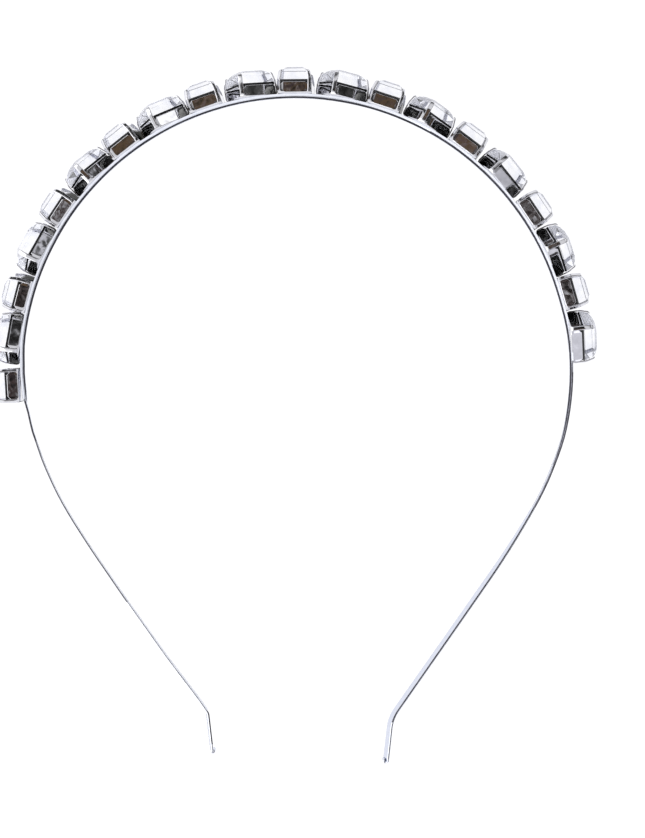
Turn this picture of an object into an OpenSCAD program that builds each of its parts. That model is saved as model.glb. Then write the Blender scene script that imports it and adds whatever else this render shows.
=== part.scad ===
// Crystal headband: a narrow sprung metal strip that carries a row of claw-set, step-cut stones.
// Units are millimetres. The headband lies on its side, as it does on a table: the strip stands on
// its edge, +Y points to the top of the head, +X to the right and +Z up from the table.
// The origin is the centre of the round part that goes over the head, at table height.

/* [Strip] */
// Radius of the strip's inner face where it goes over the head
head_radius = 68.3; // [62:0.1:74]
// Thickness of the strip
strip_thick = 0.55; // [0.4:0.05:0.8]
// Width of the strip
strip_width = 4.5; // [3:0.1:6]

/* [Right leg] */
// Place where the right leg leaves the round part, in degrees from the top of the head
right_leave = 119.9; // [115:0.1:125]
// Inner radius of the right leg's long curve
right_curve_radius = 233; // [180:1:300]
// Turn of the right leg's long curve, in degrees
right_curve = 5; // [3:0.1:8]
// Length of the right leg's straight run
right_straight = 40.6; // [35:0.1:50]
// Length of the right tip after its bend
right_tip = 8.2; // [5:0.1:12]

/* [Left leg] */
// Place where the left leg leaves the round part, in degrees from the top of the head
left_leave = 96.5; // [96.5:0.1:110]
// Small bend next to the first setting, in degrees
left_kink = 9.9; // [2:0.1:12]
// Inner radius of that small bend
kink_radius = 1.5; // [1:0.1:4]
// Inner radius of the left leg's long curve
left_curve_radius = 131; // [100:0.5:150]
// Turn of the left leg's long curve, in degrees
left_curve = 19.2; // [15:0.1:25]
// Length of the left leg's straight run
left_straight = 45; // [40:0.1:55]
// Length of the left tip after its bend
left_tip = 9.2; // [5:0.1:12]

/* [Tips] */
// Outer radius of the bend above the right tip
right_bend_radius = 9.5; // [4:0.1:14]
// Outer radius of the sharper bend above the left tip
left_bend_radius = 3; // [3:0.1:14]
// Turn of the bend above each tip, in degrees
tip_bend = 28.5; // [15:0.1:35]
// Diameter of the rolled end of each tip
roll_diameter = 1.2; // [0.9:0.05:1.6]
// How much shorter than the strip's width the rolled end is
roll_shortening = 0.6; // [0:0.1:1]

/* [Setting] */
// Outer length of the setting's cup
cup_length = 10.95; // [10:0.05:11.2]
// Outer width of the cup
cup_width = 8.5; // [7.8:0.05:8.7]
// Cut of the cup's corners, along each side
cup_corner = 0.8; // [0.6:0.05:1.2]
// Height of the cup's walls
cup_height = 2.75; // [2.4:0.05:3]
// Thickness of the cup's walls
cup_wall = 0.3; // [0.25:0.05:0.4]
// Thickness of the cup's floor
cup_floor = 0.35; // [0.3:0.05:0.5]
// Slanted bottom edge of the cup
cup_bevel = 0.2; // [0.1:0.05:0.9]
// Cut beside each claw, in the upper edge of the walls
notch = 0.65; // [0.3:0.05:0.9]
// Width of a claw
claw_width = 1.15; // [0.8:0.05:1.3]
// Thickness of a claw
claw_thick = 0.33; // [0.25:0.01:0.4]
// How far a claw stands out from the cup's corner
claw_proud = 0.17; // [0.1:0.01:0.2]
// How deep the cup's flat base is soldered into the strip's round outside
solder_depth = 0.05; // [0.03:0.01:0.1]

/* [Stone] */
// Length of the stone at its girdle
stone_length = 10.4; // [9.6:0.05:10.5]
// Width of the stone at its girdle
stone_width = 7.95; // [7.2:0.05:8.05]
// Cut of the stone's corners, along each side
stone_corner = 0.7; // [0.6:0.05:1.1]
// Clear height between the cup's rim and the stone's girdle
girdle_lift = 0.45; // [0.4:0.05:0.7]
// Height of the girdle
girdle_height = 0.2; // [0.1:0.05:0.3]
// Height of the steep lower step of the crown
crown_step = 1.85; // [1.4:0.05:2]
// Height of the middle step of the crown
crown_middle = 0.85; // [0.6:0.05:1]
// Height of the flat upper step of the crown
crown_top = 0.55; // [0.3:0.05:0.7]
// Inset of the lower step
step_inset = 0.45; // [0.3:0.05:0.6]
// Inset of the middle step from the top of the lower step
middle_inset = 0.75; // [0.6:0.05:0.9]
// Inset of the middle step's cut corners from the top of the lower step
middle_corner_inset = 0.95; // [0.8:0.05:1.1]
// Inset of the table's edge from the top of the middle step
table_inset = 0.8; // [0.6:0.05:1]
// Inset of the table's cut corners from the top of the middle step
table_corner_inset = 1.25; // [1:0.05:1.4]

/* [Hidden] */
$fn = 180;

// One row for each setting, from the left end to the right end: its place over the head, in degrees
// clockwise from the top, and the turn of its long side away from the strip's own direction.
PLACE = 0;
TURN = 1;
SETTINGS = [
    [-93, 87.6],
    [-83.5, 23.3],
    [-74.25, 80.8],
    [-64.8, 27],
    [-55.3, 81.3],
    [-46, 40.5],
    [-36.95, 80.6],
    [-27.75, 30],
    [-18.6, 85.7],
    [-9.1, 33],
    [0.05, 85.5],
    [9.5, 33.5],
    [18.65, 86.5],
    [27.9, 44.5],
    [37, 89.5],
    [46.35, 32.5],
    [56.05, 90.5],
    [65.1, 44.5],
    [74.1, 90.5],
    [83.2, 35]
];
setting_count = len(SETTINGS);

function two_digits(n) = n < 10 ? str("0", n) : str(n);
function stone_name(i) = str("stone_", two_digits(i + 1));

// A block with cut corners and sloping sides: one row for each level, from the bottom up, with its
// height and its half length, half width and half size over the corners.
HEIGHT = 0;
LONG = 1;
ACROSS = 2;
CORNER = 3;

function half_corner(length, width, cut) = (length / 2 + width / 2 - cut) / sqrt(2);
function level(height, length, width, corner, inset, corner_inset) =
    [height, length / 2 - inset, width / 2 - inset, corner - corner_inset];

over = 1;
notch_overrun = 0.1;
prism_length = 30;

// Cup of the setting
cup_half_corner = half_corner(cup_length, cup_width, cup_corner);
function cup_level(height, inset) =
    level(height, cup_length, cup_width, cup_half_corner, inset, inset);
cup_outside = [
    cup_level(0, cup_bevel),
    cup_level(cup_bevel, 0),
    cup_level(cup_height, 0)
];
cup_inside = [
    cup_level(cup_floor, cup_wall + cup_bevel),
    cup_level(cup_floor + cup_bevel, cup_wall),
    cup_level(cup_height + over, cup_wall)
];

// Stone, with its heights above the base of the cup
stone_half_corner = half_corner(stone_length, stone_width, stone_corner);
function stone_level(height, inset, corner_inset) =
    level(height, stone_length, stone_width, stone_half_corner, inset, corner_inset);
girdle_bottom = cup_height + girdle_lift;
girdle_top = girdle_bottom + girdle_height;
step_top = girdle_top + crown_step;
middle_top = step_top + crown_middle;
table_height = middle_top + crown_top;
middle_edge = step_inset + middle_inset;
middle_corner = step_inset + middle_corner_inset;
pavilion_step = 0.75;
pavilion_depth = 2.35;
pavilion_inset = 0.35;
culet_inset = 3.1;
stone_levels = [
    stone_level(girdle_bottom - pavilion_depth, culet_inset, culet_inset + pavilion_inset),
    stone_level(girdle_bottom - pavilion_step, pavilion_inset, pavilion_inset),
    stone_level(girdle_bottom, 0, 0),
    stone_level(girdle_top, 0, 0),
    stone_level(step_top, step_inset, step_inset),
    stone_level(middle_top, middle_edge, middle_corner),
    stone_level(table_height, middle_edge + table_inset, middle_corner + table_corner_inset)
];

// Claw, drawn from the side: how far out from the cup's corner, and how high above its base.
// It follows the corner of the stone at a small gap and curls over the top of the lower step.
claw_gap = 0.1;
claw_foot = 0.1;
claw_toe = 0.1;
claw_reach = 0.5;
stone_setback = cup_half_corner - stone_half_corner;
claw_in = claw_proud - claw_thick;
shoulder_in = claw_gap - stone_setback - step_inset;
tip_slope = crown_middle / middle_corner_inset;
claw_outline = [
    [claw_in, claw_foot],
    [claw_in, girdle_top + claw_gap],
    [shoulder_in, step_top + claw_gap],
    [shoulder_in - claw_reach, step_top + claw_gap + tip_slope * claw_reach],
    [shoulder_in - claw_reach, step_top + claw_thick + tip_slope * claw_reach],
    [shoulder_in - claw_reach / 2, step_top + claw_thick + tip_slope * claw_reach],
    [shoulder_in + claw_thick, step_top + claw_gap],
    [claw_proud, girdle_top + claw_gap],
    [claw_proud, claw_foot + claw_thick],
    [claw_in + claw_toe, claw_foot]
];

// Place of the settings: the flat base of each cup touches the round outside of the strip
seat_radius = head_radius + strip_thick - solder_depth;

// Reach of a turned setting across the strip, to the outermost corners of its claws
claw_out_long = cup_length / 2 - cup_corner / 2 + claw_proud / sqrt(2);
claw_out_across = cup_width / 2 - cup_corner / 2 + claw_proud / sqrt(2);
claw_half = claw_width / 2 / sqrt(2);
function side_reach(turn) = max([for (s = [-1, 1])
    (claw_out_long + s * claw_half) * abs(sin(turn))
    + (claw_out_across - s * claw_half) * abs(cos(turn))]);
// The widest settings rest on the table, so the middle of the strip is this high above it
middle_height = max([for (row = SETTINGS) side_reach(row[TURN])]);

// Straight run between two curves, so that one doesn't start inside the other
short_run = 0.2;

// Legs, one row for each stretch: the radius of a curve and its turn in degrees, or a radius of 0
// and a length. A positive radius curls on round the head, a negative one turns outwards.
right_leg = [
    [0, short_run],
    [right_curve_radius, right_curve],
    [0, right_straight],
    [-right_bend_radius, tip_bend],
    [0, right_tip]
];
left_leg = [
    [0, short_run],
    [kink_radius, left_kink],
    [0, short_run],
    [left_curve_radius, left_curve],
    [0, left_straight],
    [-left_bend_radius, tip_bend],
    [0, left_tip]
];

// How far the stretches of the strip are set into each other
join = 0.005;

metal_colour = "silver";
stone_colour = "aliceblue";

// A prism whose section is the outline of a block in one of its directions
module side_prism(levels, column, turn) {
    right_side = [for (row = levels) [row[column], row[HEIGHT]]];
    left_side = [for (i = [len(levels) - 1:-1:0]) [-levels[i][column], levels[i][HEIGHT]]];
    rotate([90, 0, turn])
        linear_extrude(height = prism_length, center = true)
            polygon(concat(right_side, left_side));
}

module cut_block(levels) {
    intersection() {
        side_prism(levels, LONG, 0);
        side_prism(levels, ACROSS, 90);
        side_prism(levels, CORNER, 45);
        side_prism(levels, CORNER, -45);
    }
}

// Wedge that takes the corner off the upper edge of a wall, where a claw stands beside it
module wall_notch(wall_end) {
    past_end = wall_end + notch_overrun;
    rotate([90, 0, 0])
        linear_extrude(height = prism_length, center = true)
            polygon([
                [wall_end - notch, cup_height],
                [wall_end, cup_height - notch],
                [past_end, cup_height - notch],
                [past_end, cup_height + over],
                [wall_end - notch, cup_height + over]
            ]);
}

module claw() {
    rotate([90, 0, 0])
        linear_extrude(height = claw_width, center = true)
            polygon(claw_outline);
}

module cup() {
    difference() {
        cut_block(cup_outside);
        cut_block(cup_inside);
        for (turn = [0, 180]) rotate([0, 0, turn]) {
            wall_notch(cup_length / 2 - cup_corner);
            rotate([0, 0, 90]) wall_notch(cup_width / 2 - cup_corner);
        }
    }
}

module setting() {
    cup();
    for (along = [-1, 1], across = [-1, 1])
        translate([
            along * (cup_length - cup_corner) / 2,
            across * (cup_width - cup_corner) / 2,
            0
        ])
            rotate([0, 0, atan2(across, along)]) claw();
}

// Puts a setting or a stone in its place on the outside of the strip
module seated(row) {
    translate([0, 0, middle_height])
        rotate([0, 0, -row[PLACE]])
            translate([0, seat_radius, 0])
                rotate([-90, 0, 0])
                    rotate([0, 0, row[TURN]]) children();
}

module curved_strip(radius, turn) {
    rotate_extrude(angle = turn)
        translate([radius, -strip_width / 2]) square([strip_thick, strip_width]);
}

// A straight stretch runs a hair into the curves beside it, and is a hair thinner and narrower than
// they are, so that they join as one strip without faces that only nearly meet.
module straight_strip(length) {
    translate([-join, join, join - strip_width / 2])
        cube([length + 2 * join, strip_thick - 2 * join, strip_width - 2 * join]);
}

// The end of the strip is rolled inwards, so that it is blunt against the head
module rolled_end() {
    roll_length = strip_width - roll_shortening;
    translate([0, strip_thick - roll_diameter / 2, -roll_length / 2])
        cylinder(d = roll_diameter, h = roll_length);
}

// Draws a leg stretch by stretch. It runs along +X here, with its outer face on the +Y side.
module leg(stretches, i = 0) {
    if (i == len(stretches)) {
        rolled_end();
    } else {
        radius = stretches[i][0];
        amount = stretches[i][1];
        if (radius == 0) {
            straight_strip(amount);
            translate([amount, 0, 0]) leg(stretches, i + 1);
        } else if (radius > 0) {
            translate([0, -radius, 0]) {
                rotate([0, 0, 90 - amount]) curved_strip(radius, amount);
                rotate([0, 0, -amount]) translate([0, radius, 0]) leg(stretches, i + 1);
            }
        } else {
            translate([0, strip_thick - radius, 0]) {
                rotate([0, 0, -90]) curved_strip(-radius, amount);
                rotate([0, 0, amount]) translate([0, radius - strip_thick, 0]) leg(stretches, i + 1);
            }
        }
    }
}

module strip() {
    translate([0, 0, middle_height]) {
        rotate([0, 0, 90 - right_leave]) curved_strip(head_radius, right_leave + left_leave);
        rotate([0, 0, -right_leave]) translate([0, head_radius, 0]) leg(right_leg);
        mirror([1, 0, 0]) rotate([0, 0, -left_leave]) translate([0, head_radius, 0]) leg(left_leg);
    }
}

module band_with_settings() {
    color(metal_colour) {
        strip();
        for (row = SETTINGS) seated(row) setting();
    }
}

module stone(row) {
    color(stone_colour) seated(row) cut_block(stone_levels);
}

band_with_settings();
for (i = [0:setting_count - 1]) stone(SETTINGS[i]);
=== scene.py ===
# %% [markdown]
# # A crystal headband, from bare shapes to a finished picture
#
# The headband is a narrow sprung strip with twenty claw-set crystals, photographed edge on, straight
# from above, on a white light table. This script loads the exact solids as the frame, then builds
# each piece again with the detail that the eye looks for: rounded edges, bent claws and cut facets.

# %% Start
import math

import bmesh
import bpy
from mathutils import Matrix, Vector


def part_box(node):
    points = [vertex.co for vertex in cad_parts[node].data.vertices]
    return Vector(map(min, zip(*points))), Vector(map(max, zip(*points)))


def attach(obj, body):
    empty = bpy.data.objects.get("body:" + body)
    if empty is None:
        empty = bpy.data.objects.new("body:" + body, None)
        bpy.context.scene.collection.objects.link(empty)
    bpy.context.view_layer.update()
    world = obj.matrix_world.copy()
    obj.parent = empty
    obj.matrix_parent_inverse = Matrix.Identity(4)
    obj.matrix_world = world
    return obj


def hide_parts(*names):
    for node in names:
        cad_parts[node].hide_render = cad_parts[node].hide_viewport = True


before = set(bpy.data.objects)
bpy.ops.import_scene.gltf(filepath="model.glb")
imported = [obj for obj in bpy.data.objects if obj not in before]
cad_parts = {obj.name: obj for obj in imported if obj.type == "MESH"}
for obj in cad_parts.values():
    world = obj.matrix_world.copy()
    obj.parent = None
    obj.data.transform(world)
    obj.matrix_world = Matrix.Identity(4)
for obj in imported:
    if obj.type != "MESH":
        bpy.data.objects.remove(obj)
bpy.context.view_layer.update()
print("Solids in the frame:", len(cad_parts))

# %% [markdown]
# ## Sizes
#
# All lengths are in millimetres until a mesh is made. They repeat the solids' own dimensions, so that
# each finished piece lies in the solid that it stands for. They could all be measured from the solids,
# but a plain list shows better what drives the shape. Only the height of the strip's middle above the
# table is measured: the stones are centred on it.

# %% Sizes
MM = 0.001

HEAD_RADIUS = 68.3
STRIP_THICK = 0.55
STRIP_WIDTH = 4.5
SOLDER_SINK = 0.05
SEAT_RADIUS = HEAD_RADIUS + STRIP_THICK - SOLDER_SINK

low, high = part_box("stone_01")
MIDDLE = (low.z + high.z) / 2 / MM
print("Middle of the strip above the table:", round(MIDDLE, 3), "mm")

# Place of each setting in degrees clockwise from the top of the head, and the turn of its long side.
SETTINGS = [
    (-93, 87.6), (-83.5, 23.3), (-74.25, 80.8), (-64.8, 27), (-55.3, 81.3),
    (-46, 40.5), (-36.95, 80.6), (-27.75, 30), (-18.6, 85.7), (-9.1, 33),
    (0.05, 85.5), (9.5, 33.5), (18.65, 86.5), (27.9, 44.5), (37, 89.5),
    (46.35, 32.5), (56.05, 90.5), (65.1, 44.5), (74.1, 90.5), (83.2, 35),
]
print("Settings:", len(SETTINGS))

# %% [markdown]
# ## Helpers for materials
#
# Colours are written as hex sRGB, the way a colour picker gives them, and one function turns them
# into the linear values that the renderer mixes. Another adds a shader node with its settings and
# links, so that each material below reads as a short list. Node groups could do the same.

# %% Helpers for materials
def linear(colour):
    """A hex sRGB colour as linear red, green, blue and alpha."""
    channels = [int(colour[i:i + 2], 16) / 255 for i in (1, 3, 5)]
    return [c / 12.92 if c <= 0.04045 else ((c + 0.055) / 1.055) ** 2.4 for c in channels] + [1]


def set_inputs(tree, node, inputs):
    """Sets or links a node's inputs. A value is a number, a colour or another node's output."""
    for socket, value in inputs.items():
        if isinstance(value, bpy.types.NodeSocket):
            tree.links.new(value, node.inputs[socket])
        else:
            node.inputs[socket].default_value = value


def add_node(tree, kind, inputs, stops=(), **settings):
    """Adds a shader node with its settings and links. Stops are a colour ramp's places and colours."""
    node = tree.nodes.new(kind)
    for name, value in settings.items():
        setattr(node, name, value)
    set_inputs(tree, node, inputs)
    for k, (position, colour) in enumerate(stops):
        if k == len(node.color_ramp.elements):
            node.color_ramp.elements.new(position)
        node.color_ramp.elements[k].position = position
        node.color_ramp.elements[k].color = linear(colour)
    return node


def new_material(name):
    """An empty material: itself, its node tree, its Principled shader, and places on the object."""
    material = bpy.data.materials.new(name)
    material.use_nodes = True
    tree = material.node_tree
    on_object = add_node(tree, "ShaderNodeTexCoord", {}).outputs["Object"]
    return material, tree, tree.nodes["Principled BSDF"], on_object


print("A mid grey in linear light:", [round(c, 3) for c in linear("#808080")])

# %% [markdown]
# ## Silver plate
#
# The cups and claws are stamped from thin sheet, soldered, then plated bright. The plating makes a
# mirror, so the metal is seen only by what it reflects: the dark space above it and the white table
# around it. A fully metallic shader with a low roughness does that, and a metal keeps the default IOR.
# Stamped walls are never quite flat. A slow wave in the surface, a few millimetres long, bends the
# reflections the way thin sheet does, and a finer smear makes the polish a little uneven. The wave
# could be modelled, but it is only hundredths of a millimetre deep, so a bump is enough.
#
# Duller kinds go with it, by the same recipe: the inside of a cup, as painted shade; the strip's own
# softer plating; a darker steel on the strip, as painted shade on its inner side and the legs' edges;
# and a darker plate on the long sides of most straight cups, as painted shade. A specular tint colours
# a metal where it is seen edge on, and a dark one keeps the darker kinds dark there.

# %% Silver plate
# How far it is from one smear of the polishing wheel to the next.
SMEAR = 1.2


def plated_metal(name, colours, roughness, wave, wave_depth, edge_on="#ffffff"):
    """Plated sheet: its darker and lighter colour, its range of roughness, and its wave in mm."""
    material, tree, shader, on_object = new_material(name)
    smear = add_node(tree, "ShaderNodeTexNoise", {
        "Vector": on_object, "Scale": 1 / (SMEAR * MM), "Detail": 3.0}).outputs["Fac"]
    polish = add_node(tree, "ShaderNodeMapRange", {
        "Value": smear, "From Min": 0.3, "From Max": 0.7, "To Min": roughness[0], "To Max": roughness[1]})
    waves = add_node(tree, "ShaderNodeTexNoise", {
        "Vector": on_object, "Scale": 1 / (wave * MM), "Detail": 1.0})
    bump = add_node(tree, "ShaderNodeBump", {
        "Height": waves.outputs["Fac"], "Strength": 1.0, "Distance": wave_depth * MM})
    tint = add_node(tree, "ShaderNodeValToRGB", {"Fac": smear}, stops=zip((0.3, 0.7), colours))
    set_inputs(tree, shader, {
        "Metallic": 1.0, "Base Color": tint.outputs["Color"], "Specular Tint": linear(edge_on),
        "Roughness": polish.outputs["Result"], "Normal": bump.outputs["Normal"]})
    return material


# Bright silver plate over stamped brass: a mirror with a slight wave.
silver = plated_metal("silver_plate", ("#cfcfd3", "#dadade"), (0.03, 0.08), 2.6, 0.04)
# The same plate inside a cup, made dark and soft as painted shade, for the shade inside the cup.
cup_inside = plated_metal("cup_inside", ("#4c4c50", "#606064"), (0.25, 0.4), 2.0, 0.02)
# Plate on the spring strip: cooler and softer, so it glows with the white table.
strip_silver = plated_metal("strip_plate", ("#dfe2ea", "#eaecf3"), (0.08, 0.16), 6.0, 0.02, "#e6e9f1")
# Painted shade on the strip's inner side over the head: a mid grey steel with a dull gleam.
arc_shade_steel = plated_metal("arc_shade_steel", ("#626268", "#80808a"), (0.3, 0.4), 5.0, 0.01, "#4a4a4e")
# Painted shade along the legs' edges and roots: a darker steel, as they are seen at a flatter angle.
leg_shade_steel = plated_metal("leg_shade_steel", ("#46464c", "#5c5c62"), (0.3, 0.4), 5.0, 0.01, "#3a3a3e")
# Painted shade on the long sides of the straight cups: a darker plate, still a mirror but a dark one.
shaded_plate = plated_metal("shaded_plate", ("#464645", "#6e6e6c"), (0.06, 0.16), 2.0, 0.05, "#60605e")
print("Metals:", [m.name for m in (silver, cup_inside, strip_silver, arc_shade_steel, leg_shade_steel, shaded_plate)])

# %% [markdown]
# ## Crystal, foil and lacquer
#
# The stones are clear crystal glass with a high polish, cut in steps. Such glass bends light a little
# more than window glass, with an IOR of about 1.55. Faint wiping marks keep its facets from being
# perfect. Behind the girdle a thin silver foil coats the pavilion, so light that enters the crown is
# thrown back out of it. A dark lacquer closes the foil's back, and a band of it on the girdle is painted
# shade: a thin black line for the shaded gap beside the rim.
#
# The foil could be a plain mirror. But the renderer can't follow the light that the glass gathers onto
# it, and with a plain mirror the crowns show black patches. A rougher foil with a faint glow of its own
# stands for that light.

# %% Crystal, foil and lacquer
# How far it is from one wiping mark, or one streak of the brush, to the next.
WIPING_MARK = 2.5
LACQUER_STREAK = 0.8


def clear_crystal():
    """Polished crystal glass: clear, with wiping marks that only just dull it."""
    material, tree, shader, on_object = new_material("clear_crystal")
    marks = add_node(tree, "ShaderNodeTexNoise", {
        "Vector": on_object, "Scale": 1 / (WIPING_MARK * MM), "Detail": 4.0}).outputs["Fac"]
    polish = add_node(tree, "ShaderNodeMapRange", {
        "Value": marks, "From Min": 0.4, "From Max": 0.8, "To Min": 0.0, "To Max": 0.02})
    tint = add_node(tree, "ShaderNodeValToRGB", {"Fac": marks}, stops=[(0.32, "#eceef6"), (0.6, "#ffffff")])
    set_inputs(tree, shader, {
        "Transmission Weight": 1.0, "IOR": 1.55,
        "Base Color": tint.outputs["Color"], "Roughness": polish.outputs["Result"]})
    return material


def backing_lacquer_and_shade():
    """Brushed black lacquer behind the foil, and painted shade on the girdle: nearly black, with the streaks
    of the brush.
    """
    material, tree, shader, on_object = new_material("backing_lacquer_and_shade")
    streaks = add_node(tree, "ShaderNodeTexNoise", {
        "Vector": on_object, "Scale": 1 / (LACQUER_STREAK * MM), "Detail": 2.0})
    tint = add_node(tree, "ShaderNodeValToRGB", {"Fac": streaks.outputs["Fac"]},
                    stops=[(0.35, "#141416"), (0.65, "#26262a")])
    set_inputs(tree, shader, {"Base Color": tint.outputs["Color"], "Roughness": 0.35})
    return material


crystal = clear_crystal()
lacquer_and_shade = backing_lacquer_and_shade()
# Silver foil pressed onto the pavilion: light and soft, and never black.
foil = plated_metal("pavilion_foil", ("#e8e9ef", "#f6f6fa"), (0.3, 0.5), 4.0, 0.0)
# The glow is painted light, for the light that the glass gathers onto the foil.
set_inputs(foil.node_tree, foil.node_tree.nodes["Principled BSDF"], {
    "Metallic": 0.6, "Emission Color": linear("#eceef8"), "Emission Strength": 0.2})
print("Stone materials:", crystal.name, foil.name, lacquer_and_shade.name)

# %% [markdown]
# ## Meshes from rings
#
# Cups and stones are both stacks of rings with eight sides. They could be boxes with bevel modifiers,
# but a bevel gives no say over each single facet. Here a ring is found from the distance of its sides
# to the middle, so an inset moves all eight sides in by the same amount, as a grinding wheel does.
# Each corner between two sides can be rounded by a small arc.

# %% Rings with eight sides
STEP = math.pi / 4


def half_corner(length, width, cut):
    """Distance from the middle to a cut corner's side."""
    return (length / 2 + width / 2 - cut) / math.sqrt(2)


def eight_sides(length, width, corner, inset=0.0, corner_inset=None):
    """Distance of each of the eight sides from the middle, anticlockwise from +X."""
    corner_inset = inset if corner_inset is None else corner_inset
    along, across, over = length / 2 - inset, width / 2 - inset, corner - corner_inset
    return [along, over, across, over] * 2


def corner_point(sides, i, back=0.0):
    """Where side i meets the next one, with both moved in by back."""
    angle = i * STEP
    a, b = sides[i] - back, sides[(i + 1) % 8] - back
    tangent = (b - a * math.cos(STEP)) / math.sin(STEP)
    return Vector((a * math.cos(angle) - tangent * math.sin(angle),
                   a * math.sin(angle) + tangent * math.cos(angle)))


def rounded_corner(sides, i, radius, steps):
    """Points of the arc that rounds the corner between side i and the next one."""
    middle = corner_point(sides, i, radius)
    angles = [(i + k / steps) * STEP for k in range(steps + 1)]
    return [middle + radius * Vector((math.cos(a), math.sin(a))) for a in angles]


block = eight_sides(10, 8, half_corner(10, 8, 1))
print("A 10 x 8 mm block with 1 mm corners has its first corner at", corner_point(block, 0))

# %% [markdown]
# ## Skins and objects
#
# A stack of rings becomes a skin of four-sided faces with a lid at each end, and a skin becomes an
# object. Shading is smooth where the real surface is round, and a hard line is marked wherever two
# faces meet at more than an angle. The cups need a much smaller angle than the rest: their flat walls
# are mirrors, and smooth shading would bend the room in them. A modifier could find such lines by
# itself, but only with one angle for the whole object, so they are marked in the mesh.

# %% Skins and objects
ROUND_UNDER = 50
FLAT_UNDER = 5


def stack(rings):
    """Points and faces of a closed skin over rings with the same number of points."""
    count = len(rings[0])
    points = [p for ring in rings for p in ring]
    faces = []
    for r in range(len(rings) - 1):
        for k in range(count):
            a, b = r * count + k, r * count + (k + 1) % count
            faces.append((a, b, b + count, a + count))
    faces.append(tuple(reversed(range(count))))
    faces.append(tuple(range(len(points) - count, len(points))))
    return points, faces


def mesh_object(name, points, faces, materials, face_material=()):
    """A mesh object from points in millimetres, with the number of each face's material."""
    mesh = bpy.data.meshes.new(name)
    mesh.from_pydata([Vector(p) * MM for p in points], [], faces)
    for material in materials:
        mesh.materials.append(material)
    for polygon, number in zip(mesh.polygons, face_material):
        polygon.material_index = number
    mesh.validate()
    mesh.update()
    thing = bpy.data.objects.new(name, mesh)
    bpy.context.scene.collection.objects.link(thing)
    return thing


def smooth_by_angle(thing, flat_part=0):
    """Smooth shading with hard lines. The first faces, up to flat_part, keep their flats flat."""
    mesh = bmesh.new()
    mesh.from_mesh(thing.data)
    for face in mesh.faces:
        face.smooth = True
    for edge in mesh.edges:
        is_flat = min(face.index for face in edge.link_faces) < flat_part
        edge.smooth = edge.calc_face_angle(0.0) < math.radians(FLAT_UNDER if is_flat else ROUND_UNDER)
    mesh.to_mesh(thing.data)
    mesh.free()


print("Hard lines over", ROUND_UNDER, "degrees, and over", FLAT_UNDER, "on the cups")

# %% [markdown]
# ## Cup
#
# Each cup is a stamped tray with cut corners. Its bottom edge is rounded where the sheet was bent, and
# its corners more so, and the four walls have a sloping cut at both ends of their rim, beside the
# claws. The ring at the rim is therefore not level: it drops over the corners. A block with a bevel
# and a hollow cut would be quicker, but could do neither. Each wall also bows out by a tenth of a
# millimetre, as pressed sheet does, so it mirrors a wider piece of the room. The rounded edges matter
# most: on a mirror they catch the white surroundings and draw each wall's pale outline.

# %% Cup
CUP_CORNER = 0.8
CUP = dict(length=10.95, width=8.5, corner=half_corner(10.95, 8.5, CUP_CORNER))
CUP_HEIGHT = 2.75
CUP_WALL = 0.3
CUP_FLOOR = 0.35
WALL_BOW = 0.1
# Radius of the bend at the base, under the walls and under the cut corners. The corners are pressed
# in by a share of theirs.
CUP_BEND = 0.22
CORNER_BEND = 0.9
CORNER_PRESS = 0.6
# The sloping cut beside a claw goes as far down as it goes along.
NOTCH = 0.65
# The rim is rounded on its outside and has a fine edge on its inside.
RIM_ROUND = 0.2
RIM_EDGE = 0.04
# Radius between a wall and a cut corner, outside and inside.
EDGE_ROUND = 0.12
INNER_EDGE_ROUND = 0.05
CORNER_STEPS = 5
BEND_STEPS = 8
CORNER_RISE_STEPS = 4
INNER_BEND_STEPS = 3


def corner_inset(height):
    """How far the cup's cut corners are drawn in near its base, where the sheet was pressed round."""
    return CORNER_BEND - math.sqrt(CORNER_BEND ** 2 - max(CORNER_BEND - height, 0) ** 2)


def cup_ring(inset, height, at_rim, bow=WALL_BOW):
    """One ring of the cup: height counts from the base, or from the rim, which drops at the corners."""
    drawn_in = 0 if at_rim else CORNER_PRESS * corner_inset(height)
    sides = eight_sides(inset=inset + bow, corner_inset=inset + bow + drawn_in, **CUP)
    radius = max(EDGE_ROUND - inset, INNER_EDGE_ROUND)
    corners = [rounded_corner(sides, i, radius, CORNER_STEPS) for i in range(8)]
    ring = []
    for i in range(8):
        if i % 2 == 0:
            start, end = corners[i - 1][-1], corners[i][0]
            along = (end - start).normalized()
            out = Vector((along.y, -along.x)) * bow
            ring += [(start + along * NOTCH + out, 0.0), (end - along * NOTCH + out, 0.0)]
        ring += [(p, -NOTCH) for p in corners[i]]
    if at_rim:
        return [(p.x, p.y, CUP_HEIGHT + height + drop) for p, drop in ring]
    return [(p.x, p.y, height) for p, drop in ring]


def quarter(steps):
    """Sine and cosine over a quarter turn."""
    return [(math.sin(a), math.cos(a)) for a in (math.pi / 2 * k / steps for k in range(steps + 1))]


def make_cup():
    """Rings from the base up the outside, over the rim and down the inside to the floor."""
    rings = [cup_ring(CUP_BEND * (1 - s), CUP_BEND * (1 - c), False) for s, c in quarter(BEND_STEPS)]
    for k in range(1, CORNER_RISE_STEPS + 1):
        rings.append(cup_ring(0, CUP_BEND + (CORNER_BEND - CUP_BEND) * k / CORNER_RISE_STEPS, False))
    rings += [cup_ring(RIM_ROUND * (1 - c), RIM_ROUND * (s - 1), True) for s, c in quarter(BEND_STEPS)]
    rings += [cup_ring(CUP_WALL - RIM_EDGE, 0.0, True, 0), cup_ring(CUP_WALL, -RIM_EDGE, True, 0)]
    inner = [cup_ring(CUP_WALL + CUP_BEND * (1 - c), CUP_FLOOR + CUP_BEND * (1 - s), False, 0)
             for s, c in reversed(quarter(INNER_BEND_STEPS))]
    return rings + inner, len(rings)


cup_rings, cup_outer = make_cup()
print("Rings in the cup:", len(cup_rings), "with", len(cup_rings[0]), "points each")

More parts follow.
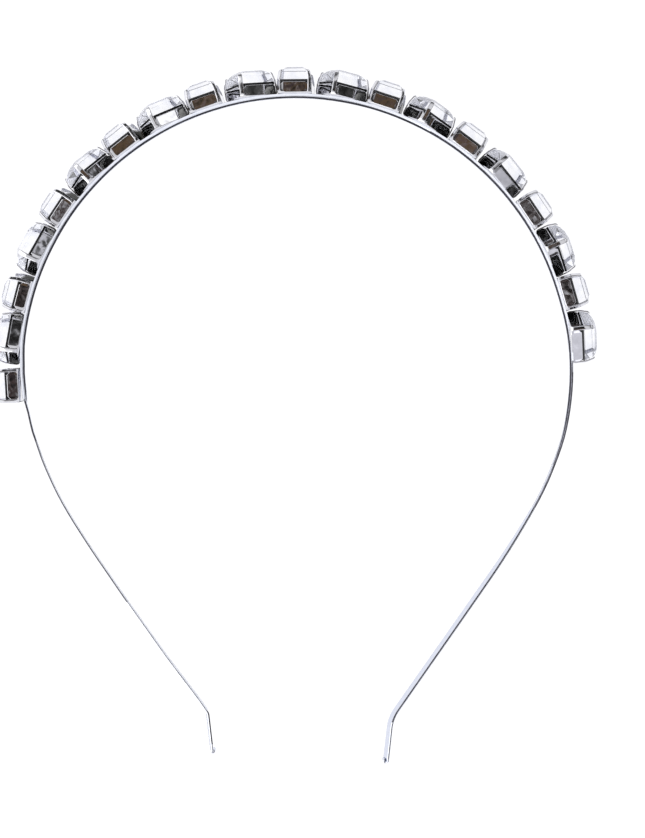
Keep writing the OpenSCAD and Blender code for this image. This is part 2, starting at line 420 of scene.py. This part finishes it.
# %% [markdown]
# ## Claws
#
# Four claws rise from the cut corners of each cup, follow the stone's corner at a hair's distance and
# bend over its crown. A real claw is cut from the same sheet and pressed round. A curve with a bevel
# would give one section all along, and a claw's end gets narrower and thinner. So a section with a
# nearly flat front and rounded flanks is swept along the bend by hand. The front mirrors the dark
# overhead and the flanks the white surroundings, so a claw is dark between two pale lines.

# %% Claws
CLAW_WIDTH = 1.15
CLAW_THICK = 0.33
CLAW_BACK = -0.16
# The end rounds off over its last steps, and the foot starts thinner up to a height.
CLAW_ROUND_OFF = 3
SMALLEST_END = 0.02
CLAW_FOOT = 0.8
FOOT_SHARE = 0.5
# How far out the claw's back is from the cup's corner, and how high, from its foot to its end.
CLAW_PATH = [
    (CLAW_BACK - 0.15, 0.3), (CLAW_BACK - 0.06, 0.55), (CLAW_BACK, 0.9), (CLAW_BACK, 1.5),
    (CLAW_BACK, 2.8), (CLAW_BACK, 3.3), (CLAW_BACK - 0.01, 3.5), (-0.25, 3.87), (-0.42, 4.55),
    (-0.57, 5.15), (-0.66, 5.37), (-0.79, 5.54), (-0.94, 5.68), (-1.08, 5.8),
]
# The front from its middle to a flank: across and how thick, as shares of half the width and of all.
CLAW_FRONT = [
    (0.0, 1.0), (0.4, 0.998), (0.72, 0.99), (0.78, 0.965), (0.87, 0.85), (0.95, 0.6), (1.0, 0.3),
]
# Each edge of the back, as a share of the width.
CLAW_BACK_EDGE = 0.45


def claw_section(width, thick):
    """A flat back, a nearly flat front and rounded flanks: across the claw, and outwards from its back."""
    front = [(-u * width / 2, thick * v) for u, v in reversed(CLAW_FRONT[1:])]
    front += [(u * width / 2, thick * v) for u, v in CLAW_FRONT]
    return front + [(width * CLAW_BACK_EDGE, 0.0), (-width * CLAW_BACK_EDGE, 0.0)]


print("Points round a claw:", len(claw_section(CLAW_WIDTH, CLAW_THICK)))

# %% [markdown]
# ### Sweep of a claw
#
# The sweep places one section at each point of the bend, square to it. Near the end the sections get
# smaller along a quarter circle, which rounds the tip as a punch leaves it. Scaling a finished claw's
# end would flatten its bend as well.

# %% Sweep of a claw
def claw_skin():
    """Points and faces of one claw: x outwards along the corner, y across it, z up from the base."""
    rings = []
    last = len(CLAW_PATH) - 1
    for i, (out, height) in enumerate(CLAW_PATH):
        before, after = CLAW_PATH[max(i - 1, 0)], CLAW_PATH[min(i + 1, last)]
        along = Vector((after[0] - before[0], after[1] - before[1])).normalized()
        outwards = Vector((along.y, -along.x))
        left = (last - i) / CLAW_ROUND_OFF
        size = math.sqrt(max(1 - (1 - left) ** 2, SMALLEST_END)) if left < 1 else 1.0
        foot = FOOT_SHARE + (1 - FOOT_SHARE) * min(height / CLAW_FOOT, 1)
        ring = []
        for across, front in claw_section(CLAW_WIDTH * size, CLAW_THICK * size * foot):
            p = Vector((out, height)) + outwards * front
            ring.append((p.x, across, p.y))
        rings.append(ring)
    return stack(rings)


claw, claw_faces = claw_skin()
print("Points in one claw:", len(claw))

# %% [markdown]
# ## Settings
#
# A setting is one cup with its four claws. They are soldered and plated together, so they are one
# object. Most are alike, and a real maker uses one stamping for all of them, so settings with the
# same painted shade share one mesh. A full copy for each would be easier to edit one by one, but a
# shared mesh stays small, and a change reaches all of them. Three kinds are needed: the turned cups
# are bright all round, and the straight ones have painted shade, a darker plate, on both long sides or on
# one.

# %% Cup and claws together
# The numbers of a setting's three materials.
SILVER, INSIDE, SHADED = 0, 1, 2


def setting_skin(shaded_sides):
    """Points, faces and material numbers of a cup with its claws, and how many faces the cup has."""
    points, faces = stack(cup_rings)
    count = len(cup_rings[0])
    # A straight side starts with the two points of its rim's cuts, so it has the three faces there.
    shaded_faces = {(side * count // 8 + k) % count for side in shaded_sides for k in (-1, 0, 1)}
    marks = []
    # The inside faces and the faces on the listed sides get painted shade.
    for f in range(len(faces) - 2):
        ring, k = divmod(f, count)
        marks.append(INSIDE if ring >= cup_outer else SHADED if k in shaded_faces else SILVER)
    marks += [SILVER, INSIDE]
    cup_faces = len(faces)
    half_length, half_width = (CUP["length"] - CUP_CORNER) / 2, (CUP["width"] - CUP_CORNER) / 2
    for along, across in ((1, 1), (-1, 1), (-1, -1), (1, -1)):
        corner = Vector((along * half_length, across * half_width, 0))
        place = Matrix.Translation(corner) @ Matrix.Rotation(math.atan2(across, along), 4, "Z")
        start = len(points)
        points += [tuple(place @ Vector(p)) for p in claw]
        faces += [tuple(start + k for k in face) for face in claw_faces]
        marks += [SILVER] * len(claw_faces)
    return points, faces, marks, cup_faces


print("Points in one setting:", len(setting_skin(())[0]))

# %% [markdown]
# ## Twenty settings
#
# Each setting stands on the strip's outer face, on its own place round the head. The maker turned
# every second one in its own plane, and not all by the same angle. An array along a curve would
# space them evenly, but the real ones were set by hand, so each has its own row of place and turn.

# %% Twenty settings
# The sides of each kind that get painted shade, counted anticlockwise from +X in steps of 45 degrees.
BRIGHT_ALL_ROUND = ()
SHADED_LONG_SIDES = (2, 6)
BRIGHT_ON_THE_RIGHT = (2,)
# Settings 9 and 11, counted from 0.
BRIGHT_RIGHT_AT = (8, 10)


def seat(row):
    """Where a setting stands: on the outside of the strip, with its long side turned."""
    place, turn = row
    return (Matrix.Translation((0, 0, MIDDLE * MM))
            @ Matrix.Rotation(math.radians(-place), 4, "Z")
            @ Matrix.Translation((0, SEAT_RADIUS * MM, 0))
            @ Matrix.Rotation(math.radians(-90), 4, "X")
            @ Matrix.Rotation(math.radians(turn), 4, "Z"))


def make_setting(name, shaded_sides, made):
    """A setting that shares its mesh with those made before it in the same finish."""
    if shaded_sides in made:
        setting = bpy.data.objects.new(name, made[shaded_sides])
        bpy.context.scene.collection.objects.link(setting)
        return setting
    points, faces, marks, cup_faces = setting_skin(shaded_sides)
    setting = mesh_object(name, points, faces, [silver, cup_inside, shaded_plate], marks)
    smooth_by_angle(setting, cup_faces)
    made[shaded_sides] = setting.data
    return setting


meshes = {}
for i, row in enumerate(SETTINGS):
    straight = BRIGHT_ON_THE_RIGHT if i in BRIGHT_RIGHT_AT else SHADED_LONG_SIDES
    setting = make_setting(f"setting_{i + 1:02d}", BRIGHT_ALL_ROUND if i % 2 else straight, meshes)
    setting.matrix_world = seat(row)
    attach(setting, "root")
print("Faces in one setting:", len(setting.data.polygons), "and kinds of setting:", len(meshes))

# %% [markdown]
# ## Stones
#
# The crystals are cut in steps: a table, two slanting steps and a steep lower one, a thin girdle, and
# a stepped pavilion that narrows to a small flat at its foot. A stone could be cut from a block by
# planes, as a cutter works, but stacked rings give the same flat facets and are easier to read. The
# facets are single faces with sharp edges, because a polished facet has no rounding that shows. The
# pavilion's faces take the foil. The lacquer reaches a little way up the girdle, where it is painted
# shade for the shaded gap beside the cup's rim, and a thin skin of it also closes the foil's back.

# %% Stones
STONE = dict(length=10.4, width=7.95, corner=half_corner(10.4, 7.95, 0.7))
GIRDLE_LOW, GIRDLE_TOP = 3.2, 3.4
STEP_TOP = 5.25
# How far up the girdle the lacquer reaches: a band of painted shade for the shaded gap beside the rim.
LACQUER_SHADE_EDGE = 0.08
# Height above the cup's base, and how far the sides and the cut corners are drawn in there.
STONE_LEVELS = [
    (GIRDLE_LOW - 2.35, 3.1, 3.45),
    (GIRDLE_LOW - 0.75, 0.35, 0.35),
    (GIRDLE_LOW, 0.0, 0.0),
    (GIRDLE_LOW + LACQUER_SHADE_EDGE, 0.0, 0.0),
    (GIRDLE_TOP, 0.0, 0.0),
    (STEP_TOP, 0.45, 0.45),
    (STEP_TOP + 0.85, 1.2, 1.4),
    (STEP_TOP + 1.4, 2.0, 2.65),
]
PAVILION_LEVELS = 3
# How far the lacquer's two faces lie outside the foil.
SKIN_INNER, SKIN_OUTER = 0.01, 0.04
# The numbers of a stone's three materials.
CRYSTAL, FOIL, LACQUER_AND_SHADE = 0, 1, 2


def stone_ring(level, gap=0.0):
    """The eight corners of a stone at one level, or of a skin that lies a gap outside it."""
    height, inset, drawn_in = level
    sides = eight_sides(inset=inset - gap, corner_inset=drawn_in - gap, **STONE)
    return [(p.x, p.y, height) for p in (corner_point(sides, i) for i in range(8))]


def lacquer_rings():
    """A thin skin of lacquer behind the foil, from its inner foot up to the girdle and back down."""
    inner, outer = [], []
    for rings, gap in ((inner, SKIN_INNER), (outer, SKIN_OUTER)):
        for k, (height, inset, drawn_in) in enumerate(STONE_LEVELS[:PAVILION_LEVELS]):
            below_foot = gap if k == 0 else 0.0
            rings.append(stone_ring((height - SKIN_INNER - below_foot, inset, drawn_in), gap))
    return inner + outer[::-1]


points, faces = stack([stone_ring(level) for level in STONE_LEVELS])
pavilion_faces = 8 * (PAVILION_LEVELS - 1)
# The eight faces after the pavilion's are the lacquer band on the girdle: painted shade.
marks = [FOIL] * pavilion_faces + [LACQUER_AND_SHADE] * 8 + [CRYSTAL] * (len(faces) - pavilion_faces - 8)
# The last face but one is the lid over the first ring, so it is the small flat at the foot.
marks[-2] = FOIL
skin_points, skin_faces = stack(lacquer_rings())
faces += [tuple(len(points) + k for k in face) for face in skin_faces]
marks += [LACQUER_AND_SHADE] * len(skin_faces)
first_stone = mesh_object("crystal_01", points + skin_points, faces, [crystal, foil, lacquer_and_shade], marks)
print("Facets on each stone:", len(first_stone.data.polygons))

# %% [markdown]
# ## Twenty stones
#
# Crystals of one order come from one mould and one cutting jig, so all twenty share a mesh, as the
# settings do. Each lies in its setting, and stands for its own solid.

# %% Twenty stones
stones = [first_stone]
for i in range(1, len(SETTINGS)):
    stone = bpy.data.objects.new(f"crystal_{i + 1:02d}", first_stone.data)
    bpy.context.scene.collection.objects.link(stone)
    stones.append(stone)
for i, (stone, row) in enumerate(zip(stones, SETTINGS)):
    stone.matrix_world = seat(row)
    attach(stone, "root")
    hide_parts(f"stone_{i + 1:02d}")
print("Stones:", len(stones))

# %% [markdown]
# ## The strip's line
#
# The band is one strip of spring metal: round over the head, nearly straight down both legs, bent
# outwards above each tip and rolled at its ends. A curve object with a profile would follow the same
# line. A sweep by hand is used instead, since it can twist, get narrower at the rolls and carry its
# painted shade face by face. The line is written as a bender would set it out: straight stretches with
# a length, and bends with a radius and an angle.

# %% The strip's line
# A roll's radius and angle, and its steps, which are also the most that any bend gets.
ROLL = (0.05, 255)
ROLL_STEPS = 24
# Distance between stations on a straight and in a bend, or the bend's degrees where these give more.
STATION = 2.0
BEND_STATION = 2.5
BEND_DEGREES = 2.0


def ahead(heading):
    """The direction along the strip."""
    return Vector((math.cos(heading), math.sin(heading)))


def outside(heading):
    """The direction out of the strip, on the left of its heading."""
    return Vector((-math.sin(heading), math.cos(heading)))


def leg_line(leave, stretches):
    """Stations along the inner face of a right leg: (point, heading) with the outer side on the left."""
    heading = math.radians(-leave)
    point = outside(heading) * HEAD_RADIUS
    stations = []
    for radius, amount in stretches:
        if radius == 0:
            steps = max(1, round(amount / STATION))
            for k in range(steps):
                point = point + ahead(heading) * amount / steps
                stations.append((point, heading))
            continue
        inner = radius if radius > 0 else radius - STRIP_THICK
        length = abs(radius) * math.radians(amount)
        steps = min(max(2, round(amount / BEND_DEGREES), round(length / BEND_STATION)), ROLL_STEPS)
        turn = math.radians(amount) / steps * (-1 if radius > 0 else 1)
        for k in range(steps):
            middle = point - outside(heading) * inner
            heading += turn
            point = middle + outside(heading) * inner
            stations.append((point, heading))
    return stations


print("Stations round one roll:", len(leg_line(0, [ROLL])))

# %% [markdown]
# ### Both legs and the round part
#
# The two legs differ: the left one leaves the round part much higher, at a small sharp bend, and the
# right one runs out of it smoothly. The left leg could be a mirrored copy of the right, but then
# neither would lie on the photographed one. So both are written out, each as a right leg, and the left
# one is mirrored afterwards.

# %% Both legs and the round part
# Where each leg starts, in degrees from the top of the head.
RIGHT_LEAVE = 119.9
LEFT_LEAVE = 96.5
# From the root down: (0, length) is straight, (radius, degrees) a bend, outwards where below 0.
RIGHT_LEG = [(0, 0.2), (233, 5.0), (0, 40.6), (-9.5, 28.5), (0, 8.2), ROLL]
LEFT_LEG = [(0, 0.2), (1.5, 9.9), (0, 0.2), (131, 19.2), (0, 45.0), (-3, 28.5), (0, 9.2), ROLL]
ARC_STEPS = 110

right_leg = leg_line(RIGHT_LEAVE, RIGHT_LEG)
left_leg = [(Vector((-p.x, p.y)), math.pi - h) for p, h in leg_line(LEFT_LEAVE, LEFT_LEG)]
places = [-LEFT_LEAVE + (RIGHT_LEAVE + LEFT_LEAVE) * k / ARC_STEPS for k in range(ARC_STEPS + 1)]
over_head = [(outside(-a) * HEAD_RADIUS, -a) for a in map(math.radians, places)]
line = [(p, h - math.pi) for p, h in reversed(left_leg)] + over_head + right_leg
print("Stations along the strip:", len(line))

# %% [markdown]
# ## Legs out of true
#
# The legs of the real strip aren't bent quite true. The left one twists by up to 9 degrees and the
# right one by up to 12 the other way, which shows more of its inner face. Each also leans by up to two
# thirds of a millimetre. Both are too small to matter for the solid, but in the picture they decide
# which face of the thin strip is seen. A curve's tilt could do the twist alone. Short rows of values
# do both here, with even changes between them for the twist and soft ones for the lean.

# %% Legs out of true
# Degrees of twist at fractions of each leg's length, the roll's steps included.
LEFT_TWIST = [
    (0.0, 3.0), (0.08, 5.0), (0.1, 6.0), (0.52, 4.0), (0.6, 4.0), (0.68, 8.5), (0.73, 8.5), (0.8, 0.0),
]
RIGHT_TWIST = [(0.0, 0.0), (0.13, -7.0), (0.41, -8.5), (0.66, -12.0), (0.74, 0.0)]
# How far each side stands to the right of its true line, at heights along +Y.
LEFT_LEAN = [
    (-95, -0.08), (-83, 0), (-70, -0.45), (-60, -0.4), (-43, -0.06), (-30, -0.36),
    (-24, -0.28), (-16, 0.05), (-9, 0.64), (-6, 0.6), (0, 0.32), (8, 0),
]
RIGHT_LEAN = [(-90, 0), (-83, 0.05), (-60, 0.1), (-25, 0.05), (-15, 0.36), (6, 0.38), (20, 0)]


def read_rows(rows, x, eased=False):
    """A value at x between rows of (x, value), straight or eased, and level beyond the end rows."""
    if x <= rows[0][0]:
        return rows[0][1]
    for (a, first), (b, second) in zip(rows, rows[1:]):
        if x <= b:
            t = (x - a) / (b - a)
            return first + (second - first) * (t * t * (3 - 2 * t) if eased else t)
    return rows[-1][1]


def out_of_true(x, y):
    """How far the strip leans to the right at a place."""
    return read_rows(RIGHT_LEAN if x > 0 else LEFT_LEAN, y, eased=True)


twists = [read_rows(LEFT_TWIST, k / len(left_leg)) for k in range(len(left_leg), 0, -1)]
twists += [LEFT_TWIST[0][1]] + [0.0] * ARC_STEPS
twists += [read_rows(RIGHT_TWIST, (k + 1) / len(right_leg)) for k in range(len(right_leg))]
print("Twist from", min(twists), "to", max(twists), "degrees")

# %% [markdown]
# ## Painted shade on the strip
#
# The strip's inner side and the roots and edges of the legs get a darker steel, as painted shade where
# they lie in shade. From above, this painted shade is the thin dark line under the settings. A painted
# mask could show it, but a mask blurs at an edge a quarter of a millimetre wide. So the painted
# shade follows the faces of the section, and its lower edge on the inner side is drawn as a real edge
# of the mesh, which wanders a little and runs out at both ends.

# %% Painted shade on the strip
# Faces of the section: 0 to 2 the outer upper edge, 3 the top, 4 to 6 the inner upper edge, 7 to 9 the
# inner side from its upper part to its lower, 10 to 12 the inner lower edge, 13 the bottom, 14 to 16
# the outer lower edge and 17 the outer side.
SECTION_FACES = 18
# The two lines that part the inner side, up from its middle. The lower one wanders over the head.
SHADE_FROM, SHADE_TO = 1.2, -1.2
WANDER, WANDER_DEGREES = 0.1, 2.3
# The faces that get painted shade, up to each place over the head.
SHADE_OVER_HEAD = [
    (-60, {7, 8}), (-30, {6, 7, 8}), (30, {7, 8}), (45, {5, 6, 7, 8}), (60, {4, 5, 6, 7, 8}),
    (89, {5, 6, 7, 8}), (90, {4, 5, 6, 7, 8}), (91, {3, 4, 5, 6, 7, 8}), (92, set(range(2, 9))),
    (109, set(range(9))), (112, set(range(8))), (115, set(range(7))), (120, set(range(1, 7))),
]
# How far down the inner side the painted shade reaches at each place, from the strip's middle.
SHADE_DOWN_TO = [
    (-96.5, 0.4), (-94, -1.4), (-88, -1.8), (-64, -1.8), (-50, -1.2), (-2, -1.2), (8, -1.7), (24, -1.7),
    (36, -1.2), (97, -1.2), (109, 1.0), (120, 1.1),
]
# For each leg from its root, how many stations long, and the faces that get painted shade there.
LEFT_SHADE = [
    (4, set(range(1, 7))), (7, {0, 1, 2, 3, 4}), (20, {1, 2, 9, 10}), (22, {2, 9, 10}), (12, {4, 5, 6, 16}),
]
RIGHT_SHADE = [(38, {0, 3, 4, 5, 6}), (9, {0, 4})]
print("Rows of wear:", len(SHADE_OVER_HEAD) + len(LEFT_SHADE) + len(RIGHT_SHADE))

# %% [markdown]
# ### Painted shade face by face
#
# The tables now become one material number for each face, in the order in which the sweep makes the
# faces: from the left tip up, over the head, and down to the right tip. The faces could also be picked
# by hand in Edit Mode, but a table can be read and changed.

# %% Painted shade face by face
# The numbers of the strip's three materials.
PLATED, LEG_SHADE, ARC_SHADE = 0, 1, 2


def leg_shade(rows, count):
    """The faces with painted shade at each station of a leg."""
    finish = [faces for stations, faces in rows for k in range(stations)]
    return (finish + [set()] * count)[:count]


def head_shade(place):
    """The faces with painted shade at a place over the head."""
    return next(faces for end, faces in SHADE_OVER_HEAD if place <= end)


steps = [(LEG_SHADE, faces) for faces in reversed(leg_shade(LEFT_SHADE, len(left_leg)))]
steps += [(ARC_SHADE, head_shade(place)) for place in places[1:]]
steps += [(LEG_SHADE, faces) for faces in leg_shade(RIGHT_SHADE, len(right_leg))]
painted_shade = [steel if k in faces else PLATED for steel, faces in steps for k in range(SECTION_FACES)]
shade_low = [read_rows(SHADE_DOWN_TO, place) + WANDER * math.sin(place / WANDER_DEGREES) for place in places]
shade_low = [SHADE_TO] * len(left_leg) + shade_low + [SHADE_TO] * len(right_leg)
# Worn or bare steel in this count means the painted shade on the strip.
print("Faces of worn or bare steel:", sum(mark != PLATED for mark in painted_shade))

# %% [markdown]
# ## Strip
#
# Now the section is swept along the line. Its edges are rounded as rolled strip is, which leaves only
# a narrow flat between them, and it gets narrower over the first steps of each roll, so that the tip
# feels blunt. Each ring is turned by its twist and moved by its lean. A bevel along sharp edges would
# round them too, but the faces would then lose their numbers, and the painted shade is laid down by those.

# %% Strip
EDGE_RADIUS = 0.26
EDGE_STEPS = 3
# How much each side draws in at a roll, and over how many stations.
ROLL_NARROWER = 0.3
ROLL_TAPER = 5


def strip_section(narrower, shade_to):
    """The strip's section with rounded edges: outwards from its inner face, and up from its middle."""
    half, r = STRIP_WIDTH / 2 - narrower, EDGE_RADIUS
    edges = [(STRIP_THICK - r, half - r), (r, half - r), (r, r - half), (STRIP_THICK - r, r - half)]
    section = []
    for quarter_turn, (x, z) in enumerate(edges):
        for k in range(EDGE_STEPS + 1):
            a = math.pi / 2 * (quarter_turn + k / EDGE_STEPS)
            section.append((x + r * math.cos(a), z + r * math.sin(a)))
        if quarter_turn == 1:
            section += [(0.0, SHADE_FROM), (0.0, shade_to)]
    return section


def strip_ring(i, station, twist):
    """One ring of the strip, turned about the middle of its section and moved out of true."""
    point, heading = station
    into_roll = ROLL_STEPS - min(i, len(line) - 1 - i)
    narrower = ROLL_NARROWER * min(max(into_roll / ROLL_TAPER, 0.0), 1.0)
    t = math.radians(twist)
    lean = out_of_true(point.x, point.y)
    ring = []
    for x, z in strip_section(narrower, shade_low[i]):
        dx = x - STRIP_THICK / 2
        p = point + outside(heading) * (STRIP_THICK / 2 + dx * math.cos(t) - z * math.sin(t))
        ring.append((p.x + lean, p.y, MIDDLE + dx * math.sin(t) + z * math.cos(t)))
    return ring


points, faces = stack([strip_ring(i, *pair) for i, pair in enumerate(zip(line, twists))])
strip = mesh_object("strip", points, faces, [strip_silver, leg_shade_steel, arc_shade_steel], painted_shade)
smooth_by_angle(strip)
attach(strip, "root")
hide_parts("band_with_settings")
print("Faces in the strip:", len(strip.data.polygons))

# %% [markdown]
# ## Solder
#
# The cups are soldered to the strip's outer face, and the solder has run along both its edges as a
# small sloping fillet. From above it is the white line between the dark strip and the dark cups. A
# boolean union with a bevel would make such a fillet too, but a thin sweep of its own is lighter and
# can swell unevenly, as molten solder does.

# %% Solder
# The fillet's section: outwards from the strip's inner face, and up from its middle.
SOLDER = [
    (0.14, 2.1), (0.16, 2.26), (0.26, 2.4), (0.38, 2.55), (0.5, 2.72), (0.56, 2.8), (0.6, 2.8), (0.6, 2.1),
]
SOLDER_FROM, SOLDER_TO = -96.0, 88.0
SOLDER_STEPS = 150
# How high the solder swells, how often in a radian of the way round, and from how far out.
SWELLS = [(0.03, 37), (0.02, 83)]
SWELLS_BEYOND = 0.2


def solder_run(name, up):
    """A fillet of solder along one edge of the strip: up is 1 for the upper edge and -1 for the lower."""
    rings = []
    for k in range(SOLDER_STEPS + 1):
        place = math.radians(SOLDER_FROM + (SOLDER_TO - SOLDER_FROM) * k / SOLDER_STEPS)
        out = outside(-place)
        lean = out_of_true(out.x, out.y * HEAD_RADIUS)
        swell = sum(height * math.sin(place * waves) for height, waves in SWELLS)
        ring = []
        for x, z in SOLDER[::up]:
            p = out * (HEAD_RADIUS + x)
            ring.append((p.x + lean, p.y, MIDDLE + up * (z + swell * (x > SWELLS_BEYOND))))
        rings.append(ring)
    run = mesh_object(name, *stack(rings), [strip_silver])
    smooth_by_angle(run)
    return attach(run, "root")


solder_run("solder_upper", 1)
solder_run("solder_lower", -1)
print("Solder from", SOLDER_FROM, "to", SOLDER_TO, "degrees")

# %% [markdown]
# ## Table
#
# Catalogue pictures like this one are taken on a sheet of milky acrylic with light under it, bright
# enough to burn out to white, so that the object has no shadow. A bright lamp from above would leave
# a shadow, so the table gives light itself. It has a faint grain, as ground acrylic has.

# %% Table
TABLE_SIDE = 4000.0
# How far it lies under the solids, so that no two faces share a plane, and how coarse its grain is.
TABLE_BELOW = 0.1
TABLE_GRAIN = 4.0


def lit_acrylic():
    """Milky acrylic lit from below: an even white that just burns out."""
    material, tree, shader, on_object = new_material("white_table")
    grain = add_node(tree, "ShaderNodeTexNoise", {
        "Vector": on_object, "Scale": 1 / (TABLE_GRAIN * MM), "Detail": 2.0})
    tint = add_node(tree, "ShaderNodeValToRGB", {"Fac": grain.outputs["Fac"]},
                    stops=[(0.3, "#626264"), (0.7, "#6a6a6c")])
    set_inputs(tree, shader, {
        "Base Color": tint.outputs["Color"], "Roughness": 0.6,
        "Emission Color": linear("#fdfdff"), "Emission Strength": 0.97})
    return material


half = TABLE_SIDE / 2
corners = [(-half, -half, 0), (half, -half, 0), (half, half, 0), (-half, half, 0)]
table = mesh_object("table", corners, [(0, 1, 2, 3)], [lit_acrylic()])
table.location.z = -TABLE_BELOW * MM
print("Table side:", TABLE_SIDE, "mm")

# %% [markdown]
# ## Room and lights
#
# Polished metal shows nothing but its surroundings, so the room decides the look more than any
# material does. A photographed room would be the usual way. Here it is drawn in the world shader
# instead: every direction gets a colour from a few soft shapes, so the script needs no picture.
#
# Low down there are grey walls with a soft light from one side, a weaker fill from the other and a
# small spot. Above them is a bright ring of reflectors, and round the lens the room is dark: a grey
# ceiling with a brown beam across it. The walls of the straight cups throw the ceiling and the beam
# back to the lens, the turned ones the lights and the walls, and all rounded edges the white table.

# %% Room and lights
# Patches per radian: the clutter on the walls is about 5 degrees wide, that on the ceiling 1.4.
WALL_PATCHES, CEILING_PATCHES = 12.0, 42.0
# Colour, strength, where it is aimed from, and the angles of its edge and its even middle.
LIGHTS = [
    ("#ffffff", 2.4, (195, 35), 60, 35),
    ("#f2f2fa", 0.9, (-66, 24), 34, 20),
    ("#ffffff", 1.5, (31, 33), 10, 6),
]
# Colour and strength of the ring of reflectors.
RING_LIGHT = ("#fdfdff", 0.9)
# Heights are the sine of the angle above the table. Each change is soft between two of them.
RING_STARTS = (0.66, 0.76)
DARK_STARTS = (0.86, 0.91)
CEILING_STARTS = (0.922, 0.932)
# The beam crosses the ceiling: a direction square to it, and where it starts and ends along that.
BEAM_ACROSS = (0.456, -0.89, 0.0)
BEAM_STARTS = (-0.225, -0.2)
BEAM_ENDS = (-0.07, -0.045)

WALL_COLOURS = [(0.42, "#262625"), (0.52, "#464645"), (0.58, "#6a6a6a"), (0.63, "#e8e8ee")]
DARK_COLOURS = [(0.4, "#0c0c0c"), (0.6, "#2a2a2b")]
CEILING_COLOURS = [
    (0.36, "#161616"), (0.45, "#383636"), (0.5, "#5a4644"),
    (0.55, "#484644"), (0.61, "#787676"), (0.7, "#dcdce0"),
]
BEAM_COLOURS = [
    (0.34, "#242020"), (0.42, "#4c443a"), (0.48, "#6e5a3e"),
    (0.54, "#5e4e44"), (0.58, "#5c423c"), (0.66, "#a09c98"),
]


def toward(azimuth, elevation):
    """A direction: degrees from +X towards +Y, and degrees above the table."""
    a, e = math.radians(azimuth), math.radians(elevation)
    return (math.cos(e) * math.cos(a), math.cos(e) * math.sin(a), math.sin(e))


print("Light aimed from", [tuple(round(c, 2) for c in toward(*light[2])) for light in LIGHTS])

# %% [markdown]
# ## World shader
#
# The nodes follow the same order: first the direction, the patches and their colours, then the walls
# with the lights added, then one soft change after the other from the table up to the lens. Real lamps
# and walls could stand round the headband instead, but each would cast light of its own on the table.

# %% World shader
world = bpy.context.scene.world or bpy.data.worlds.new("studio")
bpy.context.scene.world = world
world.use_nodes = True
tree = world.node_tree
direction = add_node(tree, "ShaderNodeTexCoord", {}).outputs["Generated"]
height = add_node(tree, "ShaderNodeSeparateXYZ", {"Vector": direction}).outputs["Z"]

on_walls = add_node(tree, "ShaderNodeTexNoise", {
    "Vector": direction, "Scale": WALL_PATCHES, "Detail": 3.0}).outputs["Fac"]
on_ceiling = add_node(tree, "ShaderNodeTexNoise", {
    "Vector": direction, "Scale": CEILING_PATCHES, "Detail": 4.0}).outputs["Fac"]
walls, dark, ceiling, beam = [
    add_node(tree, "ShaderNodeValToRGB", {"Fac": patches}, stops=stops).outputs["Color"]
    for patches, stops in (
        (on_walls, WALL_COLOURS), (on_walls, DARK_COLOURS),
        (on_ceiling, CEILING_COLOURS), (on_ceiling, BEAM_COLOURS))]

room = walls
for colour, strength, aim, edge, middle in LIGHTS:
    facing = add_node(tree, "ShaderNodeVectorMath", {0: direction, 1: toward(*aim)}, operation="DOT_PRODUCT")
    fade = add_node(tree, "ShaderNodeMapRange", {
        "Value": facing.outputs["Value"], "From Min": math.cos(math.radians(edge)),
        "From Max": math.cos(math.radians(middle))}, interpolation_type="SMOOTHSTEP")
    glow = add_node(tree, "ShaderNodeVectorMath", {
        0: [c * strength for c in linear(colour)[:3]], "Scale": fade.outputs["Result"]}, operation="SCALE")
    room = add_node(tree, "ShaderNodeVectorMath", {0: room, 1: glow.outputs["Vector"]}).outputs["Vector"]
print("Nodes up to the lights on the walls:", len(tree.nodes))

# %% [markdown]
# ### Soft changes up to the lens
#
# Each soft change takes two nodes: one turns a height into an amount, from nothing to all with soft
# ends, and one mixes two colours by it. A hard step would be simpler, but the rounded edges of the
# metal would show it as a sharp line, and a photographed room has few of those.

# %% Soft changes up to the lens
def soft_change(first, second, value, starts):
    """One part of the room changing into another as a value rises past a soft start."""
    step = add_node(tree, "ShaderNodeMapRange", {
        "Value": value, "From Min": starts[0], "From Max": starts[1]}, interpolation_type="SMOOTHSTEP")
    # Inputs 6 and 7 of this node are its two colours, and output 2 is the mixed one.
    both = add_node(tree, "ShaderNodeMix", {"Factor": step.outputs["Result"]}, data_type="RGBA")
    set_inputs(tree, both, {6: first, 7: second})
    return both.outputs[2]


ring_light = [c * RING_LIGHT[1] for c in linear(RING_LIGHT[0])[:3]] + [1]
facing_beam = add_node(tree, "ShaderNodeVectorMath", {0: direction, 1: BEAM_ACROSS}, operation="DOT_PRODUCT")
across = facing_beam.outputs["Value"]
overhead = soft_change(ceiling, soft_change(beam, ceiling, across, BEAM_ENDS), across, BEAM_STARTS)
for part, starts in ((ring_light, RING_STARTS), (dark, DARK_STARTS), (overhead, CEILING_STARTS)):
    room = soft_change(room, part, height, starts)
set_inputs(tree, tree.nodes["Background"], {"Color": room, "Strength": 1.0})
print("Nodes in the world shader:", len(tree.nodes))

# %% [markdown]
# ## Camera
#
# The lens looks straight down from about 56 cm. The strip's inner face shows as a thin line that is
# wider away from the picture's middle, and the chevrons under the turned cups open by under three
# pixels: both give that distance. A camera that looks straight down needs no turn. The Standard view
# keeps the white of the table white, where a filmic one would grey it.

# %% Camera
# The place straight below the lens, and how far the lens is above the strip's middle.
CAMERA_OVER = (6.7, -12.15)
CAMERA_DISTANCE = 560
LENS = 96.2
SENSOR = 36
# Nothing nearer than this is drawn, in metres.
NEAREST = 0.01

scene = bpy.context.scene
camera = bpy.data.objects.new("camera", bpy.data.cameras.new("camera"))
scene.collection.objects.link(camera)
camera.location = (CAMERA_OVER[0] * MM, CAMERA_OVER[1] * MM, (MIDDLE + CAMERA_DISTANCE) * MM)
camera.data.lens = LENS
camera.data.sensor_width = SENSOR
camera.data.clip_start = NEAREST
scene.camera = camera
scene.view_settings.view_transform = "Standard"
print("Camera above the table:", round(camera.location.z, 3), "m")
